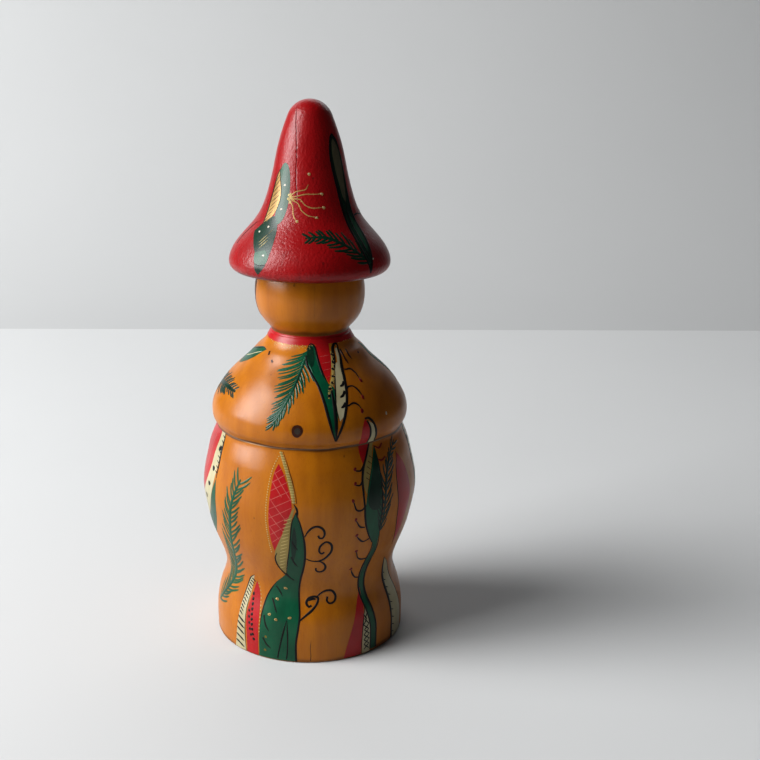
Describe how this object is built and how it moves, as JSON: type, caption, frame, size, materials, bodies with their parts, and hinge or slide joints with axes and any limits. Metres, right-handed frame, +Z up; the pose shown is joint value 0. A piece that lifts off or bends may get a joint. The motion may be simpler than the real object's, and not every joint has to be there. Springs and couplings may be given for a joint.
{
  "type": "turned wooden gnome box",
  "caption": "Hollow turned wooden gnome with a tall brimmed hat, a round head and a sloping cape; the cape lifts off the waisted lower body as a push-fit lid.",
  "frame": {"origin": "centre of the flat foot, on the surface that the figure stands on", "axes": "+Z up along the turning axis, -Y towards the face side"},
  "size_m": [0.0802, 0.0802, 0.2],
  "materials": {
    "honey_wood": "clear gloss lacquer over stained lime wood",
    "red_lacquer": "red paint under clear gloss lacquer",
    "bare_wood": "bare turned wood",
    "red_paint": "brushed red enamel under clear lacquer",
    "green_paint": "brushed dark green enamel under clear lacquer",
    "cream_paint": "brushed cream enamel under clear lacquer",
    "black_paint": "fine brush lines in black enamel",
    "gold_paint": "fine brush lines in bronze powder paint"
  },
  "bodies": {
    "base": {"base_cup": "honey_wood"},
    "lid": {"cape_lid": "honey_wood", "head": "honey_wood", "hat": "red_lacquer", "spine_dowel": "bare_wood"}
  },
  "joints": [
    {"name": "lid_lift", "type": "slide", "parent": "base", "child": "lid", "axis": [0, 0, 1], "range_m": [0, 0.09]}
  ]
}
